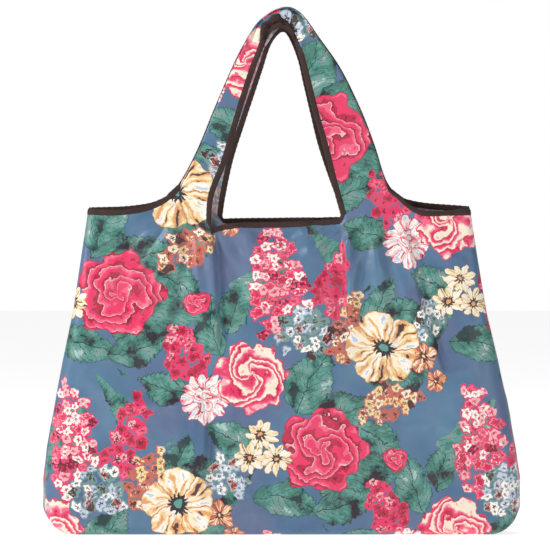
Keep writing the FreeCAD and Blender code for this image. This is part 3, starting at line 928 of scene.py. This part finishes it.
def metal_material():
    """Antique brass of the snap, brushed, with darker and lighter patches at random."""
    graph, finish = new_material("antique_brass")
    place = graph.node("ShaderNodeTexCoord", output="Object")
    x, y, z = graph.split(place)
    brushed = graph.noise(graph.join(x * 400.0, y * 400.0, z * 6000.0), 1.0, 3.0)
    colour = graph.mix(graph.noise(place, 260.0, 3.0), rgb(150, 118, 78), rgb(92, 70, 48))
    roughness = graph.muladd(brushed, 0.25, 0.25)
    return finish(colour, roughness, graph.bump(brushed, 0.15, 0.00008), Metallic=0.95)


def floor_material():
    """A pale floor, lit a little more for the camera so that it meets the backdrop softly."""
    graph, finish = new_material("pale_floor")
    shade = graph.noise(graph.node("ShaderNodeTexCoord", output="Object"), 1.2, 1.0)
    colour = graph.mix(shade, (0.90, 0.90, 0.90, 1), (0.93, 0.93, 0.93, 1))
    seen = graph.node("ShaderNodeLightPath")
    glow = {"Emission_Color": (1.0, 1.0, 1.0, 1.0), "Emission_Strength": graph.muladd(seen, 0.20, 0.45)}
    return finish(colour, 0.8, **glow)


YARN = rgb(150, 156, 172)
HIGHLIGHT = rgb(226, 226, 234)
PRINT_FACE = print_material("print_face", 0.0)
PRINT_REVERSE = print_material("print_reverse", 0.62)
# the second brown is the painted highlight of the binding tape
TAPE_CLOTH = tape_material("binding_tape", rgb(36, 23, 23), rgb(76, 54, 49))
THREAD = thread_material()
BRASS = metal_material()
# ---- two-sided cloth


def add_cloth(mesh, index, grids, side):
    """Face cloth and reverse cloth over grids whose points `index` numbers, with a closed rim."""
    normals = np.zeros((mesh.count, 3))
    points = np.vstack(mesh.points)
    for numbers, grid in reversed(list(zip(index, grids))):
        normals[numbers] = grid_normals(grid) * -side
    face_count = len(mesh.faces)
    for numbers in index:
        mesh.quads(numbers, 0, flip=side > 0)
    outer = mesh.faces[face_count:]
    inner = mesh.add_points(points - normals * CLOTH, np.vstack(mesh.flats))
    mesh.add_faces([tuple(inner[i] for i in face[:1] + face[:0:-1]) for face in outer], 1)
    edges = dict.fromkeys(edge for face in outer for edge in zip(face, face[1:] + face[:1]))
    mesh.add_faces([(b, a, inner[a], inner[b]) for a, b in edges if (b, a) not in edges])


def cloth_with_handle(name, side):
    """One continuous cloth: body and both straps. Returns its object and its grids."""
    body, flat, marks = body_grid(side)
    handle, handle_flat = handle_grid(side, body, flat, marks)
    mesh = Mesh()
    body_index = mesh.add_points(body, flat).reshape(body.shape[:2])
    handle_index = np.zeros(handle.shape[:2], int)
    own = mesh.add_points(handle[1:-1], handle_flat[1:-1])
    handle_index[1:-1] = own.reshape(handle[1:-1].shape[:2])
    handle_index[0] = body_index[-1, marks[0]:marks[1] + 1]
    handle_index[-1] = body_index[-1, marks[2]:marks[3] + 1][::-1]
    add_cloth(mesh, [body_index, handle_index], [body, handle], side)
    return mesh.build(name, [PRINT_FACE, PRINT_REVERSE]), body, handle, marks


def add_rim(mesh, front, back, flip=False):
    """Close the gap between the edges of two index grids of one shape."""
    loops = [np.concatenate([g[0], g[1:, -1], g[-1, -2::-1], g[-2:0:-1, 0]]) for g in (front, back)]
    a, b = loops[::-1] if flip else loops
    mesh.add_faces(np.stack([np.roll(a, -1), a, b, np.roll(b, -1)], axis=1))


def add_sheet(mesh, face, back, flat, back_slot, flip=False, cut_from=(0.0, 0.0)):
    """A closed sheet between two grids of one shape; cut_from moves the face on its print."""
    index = mesh.add_points(face, flat + np.array(cut_from)).reshape(face.shape[:2])
    back_index = mesh.add_points(back, flat).reshape(index.shape)
    mesh.quads(index, 0, flip)
    mesh.quads(back_index, back_slot, not flip)
    add_rim(mesh, index, back_index, flip)


# ---- binding tape

TAPE = 6.6            # width of the tape on each face of the cloth
TAPE_STEP = 2.6       # spacing of the tape's cross-sections
TAPE_VERTICES = 7     # cloth vertices that reach past the tape's width
STITCH_PITCH = 3.2
STITCH_INSET = 2.0    # how far the stitches lie inside the tape's free edge
PUCKER_PITCH = 7.1    # how often the tape swells a little along its length
# the folded tape's section as (distance in from the cloth's edge, height over its face)
TAPE_SECTION = [
    (TAPE, 0.10), (TAPE - 0.3, 0.50), (4.8, 0.62), (2.6, 0.80), (0.8, 0.74), (-0.6, 0.34),
    (-1.0, -0.2), (-0.6, -0.74), (0.8, -1.14), (2.6, -1.20), (4.8, -1.02), (TAPE - 0.3, -0.90),
    (TAPE, -0.50),
]


def inward(grid, normals, row, col, down, right):
    """Places and normals from an edge vertex into the cloth, far enough for the tape."""
    steps = np.arange(TAPE_VERTICES)
    rows = np.clip(row + down * steps, 0, grid.shape[0] - 1)
    cols = np.clip(col + right * steps, 0, grid.shape[1] - 1)
    return grid[rows, cols], normals[rows, cols]


def run_lengths(line):
    """Distance along a polyline at each of its points."""
    return np.concatenate([[0.0], np.cumsum(np.linalg.norm(np.diff(line, axis=0), axis=1))])


def follow(distance, lengths, line):
    """Values along a polyline at one distance or at several."""
    return np.stack([np.interp(distance, lengths, column) for column in line.T], axis=-1)


def at_distance(places, normals, distance):
    """Place and normal at a distance along a polyline; a negative distance lies before it."""
    lengths = run_lengths(places)
    if distance < 0.0:
        away = unit(places[0] - places[1])
        return places[0] - away * distance, normals[0]
    return follow(distance, lengths, places), unit(follow(distance, lengths, normals))


def resample(rings, closed):
    """Cross-sections spaced evenly along the tape."""
    if closed:
        rings = np.concatenate([rings, rings[:1]])
    lengths = run_lengths(rings.mean(axis=1))
    at = np.linspace(0.0, lengths[-1], max(4, int(lengths[-1] / TAPE_STEP)) + 1)
    even = follow(at, lengths, rings.reshape(len(rings), -1)).reshape(len(at), -1, 3)
    return (even[:-1] if closed else even), at


def add_tube(mesh, rings, closed, slot, flat_across, at):
    """Skin of a closed section swept along the rings, facing outwards."""
    ring = rings[0] - rings[0].mean(axis=0)
    spin = np.cross(ring, np.roll(ring, -1, axis=0)).sum(axis=0)
    if spin @ (rings[1].mean(axis=0) - rings[0].mean(axis=0)) < 0.0:
        rings, flat_across = rings[:, ::-1], flat_across[::-1]
    across = np.broadcast_to(flat_across[None, :], rings.shape[:2])
    along = np.broadcast_to(at[:len(rings), None], rings.shape[:2])
    index = mesh.add_points(rings, pack(along, across)).reshape(rings.shape[:2])
    wrapped = np.concatenate([index, index[:, :1]], axis=1)
    if closed:
        wrapped = np.concatenate([wrapped, wrapped[:1]], axis=0)
    mesh.quads(wrapped, slot)
    if not closed:
        mesh.add_faces([tuple(index[0][::-1]), tuple(index[-1])], slot)


def add_stitch(mesh, centre, along, across, normal):
    """One raised stitch of thread, thickest in its middle."""
    rings = []
    for place, size in ((-1.1, 0.10), (-0.6, 0.26), (0.6, 0.26), (1.1, 0.10)):
        for a, n in ((1, 0), (0, 1), (-1, 0), (0, -1)):
            rings.append(centre + along * place + across * (a * size) + normal * (n * size * 0.8))
    index = mesh.add_points(rings, np.zeros((16, 2))).reshape(4, 4)
    mesh.quads(np.concatenate([index, index[:, :1]], axis=1), 1)
    mesh.add_faces([tuple(index[0][::-1]), tuple(index[-1])], 1)


def add_seam(mesh, line, across_ways, normal=None, lift=0.0, start=STITCH_PITCH, end=STITCH_PITCH):
    """Stitches along a line; without a normal each lies across the line as the tape does."""
    lengths = run_lengths(line)
    for place in np.arange(start, lengths[-1] - end, STITCH_PITCH):
        k = min(int(np.searchsorted(lengths, place)), len(line) - 1)
        along = unit(line[k] - line[k - 1])
        if normal is None:
            up, across = unit(np.cross(along, across_ways[k])), across_ways[k]
        else:
            up, across = normal, np.cross(normal, along)
        add_stitch(mesh, follow(place, lengths, line) + up * lift, along, across, up)


def bind_edge(mesh, chains, closed):
    """Sew tape over an edge; chains holds (places, normals) into the cloth, edge first."""
    seams = [(TAPE - STITCH_INSET, 0.62), (TAPE - STITCH_INSET, -1.05)]
    section = TAPE_SECTION + seams
    rings = []
    for places, normals in chains:
        spots = [at_distance(places, normals, distance) for distance, _ in section]
        rings.append([place + normal * height for (place, normal), (_, height) in zip(spots, section)])
    even, at = resample(np.array(rings), closed)
    pucker = 1.0 + 0.06 * np.sin(at[:len(even)] * 2.0 * math.pi / PUCKER_PITCH)
    tape = even[:, :-2]
    middle = tape.mean(axis=1, keepdims=True)
    tape = middle + (tape - middle) * pucker[:, None, None]
    across = np.array([distance + 2.0 * (height < -0.2) * TAPE for distance, height in TAPE_SECTION])
    add_tube(mesh, tape, closed, 0, across, at)
    # across each row of stitches is the way from the tape's fold to its free edge
    add_seam(mesh, even[:, -2], unit(even[:, 0] - even[:, 5]))
    add_seam(mesh, even[:, -1], unit(even[:, len(TAPE_SECTION) - 1] - even[:, 7]))


def edge_chains(grids, side, *runs):
    """Chains from runs of (grid number, rows, columns, way down, way to the right)."""
    normals = [grid_normals(grid) * -side for grid in grids]
    return [inward(grids[k], normals[k], row, col, down, right)
            for k, rows, cols, down, right in runs for row in rows for col in cols]


def outer_edge_chains(body, handle, marks, side):
    """From the left side seam over the crown to the right side seam."""
    top, rows = [len(body) - 1], range(2, len(handle) - 2)
    return edge_chains((body, handle), side, (0, top, range(marks[0]), -1, 0), (1, rows, [0], 0, 1),
                       (0, top, range(marks[3] + 1, body.shape[1]), -1, 0))


def window_chains(body, handle, marks, side):
    """Round the window between the straps: along the mouth edge and back over the crown."""
    top, rows = [len(body) - 1], range(len(handle) - 3, 1, -1)
    return edge_chains((body, handle), side, (0, top, range(marks[1] + 1, marks[2]), -1, 0),
                       (1, rows, [STRAP_COLUMNS], 0, -1))


GATHER_SPAN = (0.385, 0.585)      # the part of the handle's length that the gather covers
GATHER_COLUMNS = 40
GATHER_SIZE = (95.0, 34.0)        # length and width of its flat cloth


def crown_gather(name, handle, side):
    """Binding cloth bunched over the crown, where the strap folds under itself."""
    first, last = [int(len(handle) * place) for place in GATHER_SPAN]
    strip = handle[first:last]
    s = np.linspace(0.0, 1.0, len(strip))[:, None]
    t = np.linspace(0.0, 1.0, GATHER_COLUMNS + 1)[None, :]
    ragged = wrinkle(pack(s * 60.0, s * 0.0), 9.0, side * 4.4)
    reach = 0.08 + 0.19 * np.sin(math.pi * s ** 0.8) ** 0.8 + 0.08 * ragged
    place = (1.0 - reach * (1.0 - t)) * STRAP_COLUMNS
    low = np.clip(place.astype(int), 0, STRAP_COLUMNS - 1)
    part = (place - low)[..., None]
    row = np.arange(len(strip))[:, None]
    base = strip[row, low] * (1.0 - part) + strip[row, low + 1] * part
    flat = pack(s * GATHER_SIZE[0], t * GATHER_SIZE[1])
    folds_along = 1.0 - np.abs(wrinkle(flat * np.array([0.3, 1.0]), 6.5, side * 6.1)) * 2.0
    crumple = 2.6 * folds_along + 1.6 * wrinkle(flat, 10.0, side * 8.3)
    hold = smooth(np.minimum(t, 1.0 - t), 0.0, 0.12) * smooth(np.minimum(s, 1.0 - s), 0.0, 0.10)
    normals = grid_normals(base) * -side
    mesh = Mesh()
    lift = normals * (0.9 + (1.8 + crumple) * hold)[..., None]
    add_sheet(mesh, base + lift, base + normals * 0.35, flat, 0, flip=side > 0)
    return mesh.build(name, [TAPE_CLOTH])


def tape_piece(name, *edges):
    """Each edge is (chains, closed); every edge's tape and stitches go into one piece."""
    mesh = Mesh()
    for chains, closed in edges:
        bind_edge(mesh, chains, closed)
    return mesh.build(name, [TAPE_CLOTH, THREAD])


# ---- gussets and base

GUSSET_COLUMNS = 26
GUSSET_FOLD = 24.0    # how deep the side folds in at the mouth
GUSSET_HALF = 34.0    # half width of its flat cloth
GUSSET_PRINT = 330.0  # where it was cut from the print, left and right of the faces
BASE_COLUMNS, BASE_ROWS = 150, 16


def gusset_grid(front, rear, hand):
    """Side cloth between the side seams; hand is -1 on the left and 1 on the right."""
    column = 0 if hand < 0 else -1
    a, b = front[:, column], rear[:, column]
    q = np.linspace(-1.0, 1.0, GUSSET_COLUMNS + 1)[None, :, None]
    line = a[:, None] * (0.5 - 0.5 * q) + b[:, None] * (0.5 + 0.5 * q)
    outline = 0.5 * (a + b)
    along = unit(np.gradient(outline, axis=0))
    inward_way = pack(along[:, 2], np.zeros(len(along)), -along[:, 0]) * -hand
    z = outline[:, 2][:, None]
    depth = GUSSET_FOLD * smooth(z, 70.0, 400.0)
    fold = np.sqrt(np.maximum(1.0 - np.abs(q[..., 0]), 0.0) ** 2 + 0.01) - 0.1
    fold = fold * (1.0 - 0.10 * np.cos(math.pi * q[..., 0]))
    bow = (3.4 * smooth(z, 2.0, 40.0) - 1.8 * smooth(z, 70.0, 400.0)) * (1.0 - q[..., 0] ** 2)
    flat = pack(q[..., 0] * 30.0, z)
    soft = 1.6 * wrinkle(flat, 46.0, 11.0 + hand) + 0.8 * wrinkle(flat, 20.0, 17.0 + hand)
    soft = soft * (1.0 - q[..., 0] ** 4) * smooth(z, 4.0, 30.0)
    inset = depth * fold - bow + soft
    grid = line + inward_way[:, None] * inset[..., None]
    across = q[..., 0] * GUSSET_HALF + hand * GUSSET_PRINT
    flats = pack(across, run_lengths(outline)[:, None])
    return grid, flats


def gusset(name, front, rear, hand):
    grid, flats = gusset_grid(front, rear, hand)
    # the columns run rightwards as seen from outside
    grid, flats = [array[:, ::-1] if hand < 0 else array for array in (grid, flats)]
    mesh = Mesh()
    index = mesh.add_points(grid, flats).reshape(grid.shape[:2])
    add_cloth(mesh, [index], [grid], FRONT)
    thing = mesh.build(name, [PRINT_FACE, PRINT_REVERSE])
    return thing, edge_chains([grid], FRONT, (0, [len(grid) - 1], range(grid.shape[1]), -1, 0))


def base_cloth(name, front, rear):
    """Underside between the foot seams, resting on the floor."""
    x = np.linspace(front[0, 0, 0], front[0, -1, 0], BASE_COLUMNS)
    lines = [np.interp(x, edge[0, :, 0], edge[0, :, 1]) for edge in (front, rear)]
    q = np.linspace(0.0, 1.0, BASE_ROWS)[:, None]
    y = lines[0][None, :] * (1.0 - q) + lines[1][None, :] * q
    flat = pack(x[None, :], y)
    lift = 0.5 + 0.5 * wrinkle(flat, 40.0, 23.0)
    lift = lift * 4.0 * q * (1.0 - q)
    grid = pack(flat[..., 0], y, lift)
    mesh = Mesh()
    add_sheet(mesh, grid, grid + np.array([0.0, 0.0, CLOTH]), flat, 1, flip=True)
    return mesh.build(name, [PRINT_FACE, PRINT_REVERSE])
# ---- the stow pouch and its snap

POUCH_CLOTH = 0.5     # thickness of the pouch's cloth
POUCH_STEP = 4.0      # spacing of its mesh
POUCH_PRINT = (31.0, 57.0)    # where its cloth was cut from the print
TAB_ROWS, TAB_COLUMNS = 22, 15


def sheet_piece(mesh, node, puff, seed):
    """A flat cloth in the place of a CAD node, with a soft puff to the front; returns its grid."""
    (left, y, low), (right, _, high) = cad_box(node)
    u = np.linspace(0.0, 1.0, int((right - left) / POUCH_STEP) + 1)[None, :]
    v = np.linspace(0.0, 1.0, int((high - low) / POUCH_STEP) + 1)[:, None]
    x, z = np.broadcast_arrays(left + (right - left) * u, low + (high - low) * v)
    dome = np.sin(math.pi * u) * np.sin(math.pi * np.clip(v * 0.9, 0.0, 1.0))
    flat = pack(x, z)
    out = y - puff * dome + 0.35 * wrinkle(flat, 26.0, seed) * dome
    grid = pack(x, out, z)
    add_sheet(mesh, grid, grid + np.array([0.0, POUCH_CLOTH, 0.0]), flat, 1, cut_from=POUCH_PRINT)
    return grid


def stow_pouch():
    mesh = Mesh()
    back = sheet_piece(mesh, "pouch_back", 0.2, 3.3)
    front = sheet_piece(mesh, "pouch_front", 0.9, 8.1)
    pouch = mesh.build("stow_pouch", [PRINT_FACE, PRINT_REVERSE])
    rows, cols = front.shape[0] - 1, front.shape[1] - 1
    round_foot = edge_chains([front], FRONT, (0, range(rows, -1, -1), [0], 0, 1),
                             (0, [0], range(1, cols), 1, 0), (0, range(rows + 1), [cols], 0, -1))
    edges = [(round_foot, False)]
    for grid in (front, back):
        run = (0, [grid.shape[0] - 1], range(cols, -1, -1), -1, 0)
        edges.append((edge_chains([grid], FRONT, run), False))
    return pouch, tape_piece("stow_pouch_binding", *edges)


def tab_from(node, name, radius=1.0, round_end=False):
    """A stitched strip of doubled tape in the place of a CAD node, with one end rounded or not."""
    (left, front, low), (right, rear, high) = cad_box(node)
    middle, half = (front + rear) / 2.0, (right - left) / 2.0
    v = np.linspace(0.0, 1.0, TAB_ROWS)[:, None]
    u = np.linspace(-1.0, 1.0, TAB_COLUMNS)[None, :]
    z = low + (high - low) * v
    end = np.clip((low + radius - z) / radius, 0.0, 1.0) * round_end
    x, z = np.broadcast_arrays(u * (half - radius * (1.0 - np.sqrt(1.0 - end ** 2))), z)
    plump = (rear - front) * 0.4 * (1.0 - np.abs(u) ** 6) * (1.0 - (2.0 * v - 1.0) ** 8) + 0.15
    face, back = [pack(x, middle + way * plump, z) for way in (-1.0, 1.0)]
    mesh = Mesh()
    add_sheet(mesh, face, back, pack(x, z), 0)
    seam = np.concatenate([face[1, 1:-1], face[1:-1, -2], face[-2, -2:0:-1], face[-2:1:-1, 1]])
    add_seam(mesh, seam, None, np.array([0.0, -1.0, 0.0]), 0.12, 1.5, 0.0)
    return mesh.build(name, [TAPE_CLOTH, THREAD])


# ---- building the bag


def stand_for(thing, slot, *nodes):
    """Hide the CAD nodes that a new piece takes the place of; thing and slot are not used."""
    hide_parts(*nodes)


def build_face(face, side, handle):
    """Cloth, tapes and crown gather of one face of the bag, with its handle; returns the body's grid."""
    def nodes(kind):
        return ["%s_%s_%s" % (face, hand, kind) for hand in ("left", "right")]

    cloth, grid, handle_points, marks = cloth_with_handle(face + "_cloth", side)
    stand_for(cloth, "print_cloth", face + "_panel", *nodes("strap"))
    outer_edge = outer_edge_chains(grid, handle_points, marks, side)
    outer = tape_piece(face + "_outer_binding", (outer_edge, False))
    stand_for(outer, "binding", *nodes("shoulder_binding"), *nodes("strap_outer_binding"))
    window_edge = window_chains(grid, handle_points, marks, side)
    window = tape_piece(face + "_window_binding", (window_edge, True))
    stand_for(window, "binding", face + "_mouth_binding", *nodes("strap_inner_binding"))
    gather = crown_gather(face + "_crown_gather", handle_points, side)
    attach(gather, handle)
    for thing in (cloth, outer, window):
        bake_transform(thing)
    return grid


front_grid = build_face("front", FRONT, "front_handle")
rear_grid = build_face("rear", REAR, "rear_handle")

for hand_name, hand in (("left", -1), ("right", 1)):
    side_cloth, chains = gusset(hand_name + "_gusset_cloth", front_grid, rear_grid, hand)
    side_tape = tape_piece(hand_name + "_gusset_tape", (chains, False))
    stand_for(side_cloth, "print_cloth", hand_name + "_gusset")
    stand_for(side_tape, "binding", hand_name + "_gusset_binding")
    for thing in (side_cloth, side_tape):
        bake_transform(thing)

underside = base_cloth("base_cloth", front_grid, rear_grid)
stand_for(underside, "print_cloth", "base_panel")
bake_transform(underside)

pouch, pouch_tape = stow_pouch()
stand_for(pouch, "pouch_cloth", "pouch_back", "pouch_front")
stand_for(pouch_tape, "binding", "pouch_edge_binding", "pouch_mouth_binding")
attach(pouch, "pouch")
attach(pouch_tape, "pouch")
for body, node, shape in (("snap_tab", "snap_tab", (9.0, True)), ("pouch", "snap_tab_base", ()),
                          ("root", "pouch_hanging_tape", ())):
    strip = tab_from(node, node + "_cloth", *shape)
    stand_for(strip, "binding", node)
    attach(strip, body)
for node in ("snap_cap", "snap_socket", "snap_stud", "snap_post"):
    materials = frame["nodes"][node].data.materials
    materials.clear()
    materials.append(BRASS)

# ---- studio

FLOOR = 6.0              # half width of the floor, metres
FRAME_WIDTH = 0.695      # width of the picture at the bag
DISTANCE = 5.4
AIM = Vector((-0.010, 0.0, 0.326))
ELEVATION = math.radians(2.2)


def area_light(name, place, size, power, height):
    """A soft round light aimed at a height over the middle of the floor."""
    data = bpy.data.lights.new(name, "AREA")
    data.shape, data.size, data.energy = "DISK", size, power
    lamp = bpy.data.objects.new(name, data)
    lamp.location = place
    aim = Vector((0.0, 0.0, height)) - lamp.location
    lamp.rotation_euler = aim.to_track_quat("-Z", "Y").to_euler()
    bpy.context.scene.collection.objects.link(lamp)


def studio():
    mesh = bpy.data.meshes.new("floor")
    corners = [(-FLOOR, -FLOOR, 0), (FLOOR, -FLOOR, 0), (FLOOR, FLOOR, 0), (-FLOOR, FLOOR, 0)]
    mesh.from_pydata(corners, [], [(0, 1, 2, 3)])
    mesh.materials.append(floor_material())
    floor = bpy.data.objects.new("floor", mesh)
    bpy.context.scene.collection.objects.link(floor)
    world = bpy.data.worlds.new("studio")
    bpy.context.scene.world = world
    world.use_nodes = True
    background = world.node_tree.nodes["Background"]
    background.inputs[0].default_value = (1.0, 1.0, 1.0, 1.0)
    graph = Graph(world.node_tree)
    seen = graph.node("ShaderNodeLightPath")
    graph.feed(background.inputs[1], graph.muladd(seen, 0.70, 0.30))
    bpy.context.scene.view_settings.view_transform = "Standard"
    area_light("key", (-2.0, -1.1, 1.4), 0.6, 36.0, 0.3)
    area_light("fill", (1.2, -2.2, 0.9), 1.6, 13.0, 0.3)
    area_light("top", (0.1, 0.5, 2.2), 1.2, 8.0, 0.4)


def camera():
    data = bpy.data.cameras.new("camera")
    data.sensor_width = 36.0
    data.lens = data.sensor_width * DISTANCE / FRAME_WIDTH
    eye = bpy.data.objects.new("camera", data)
    away = Vector((0.0, -math.cos(ELEVATION), math.sin(ELEVATION)))
    eye.location = AIM + away * DISTANCE
    eye.rotation_euler = (-away).to_track_quat("-Z", "Y").to_euler()
    bpy.context.scene.collection.objects.link(eye)
    bpy.context.scene.camera = eye


studio()
camera()

bpy.context.view_layer.update()
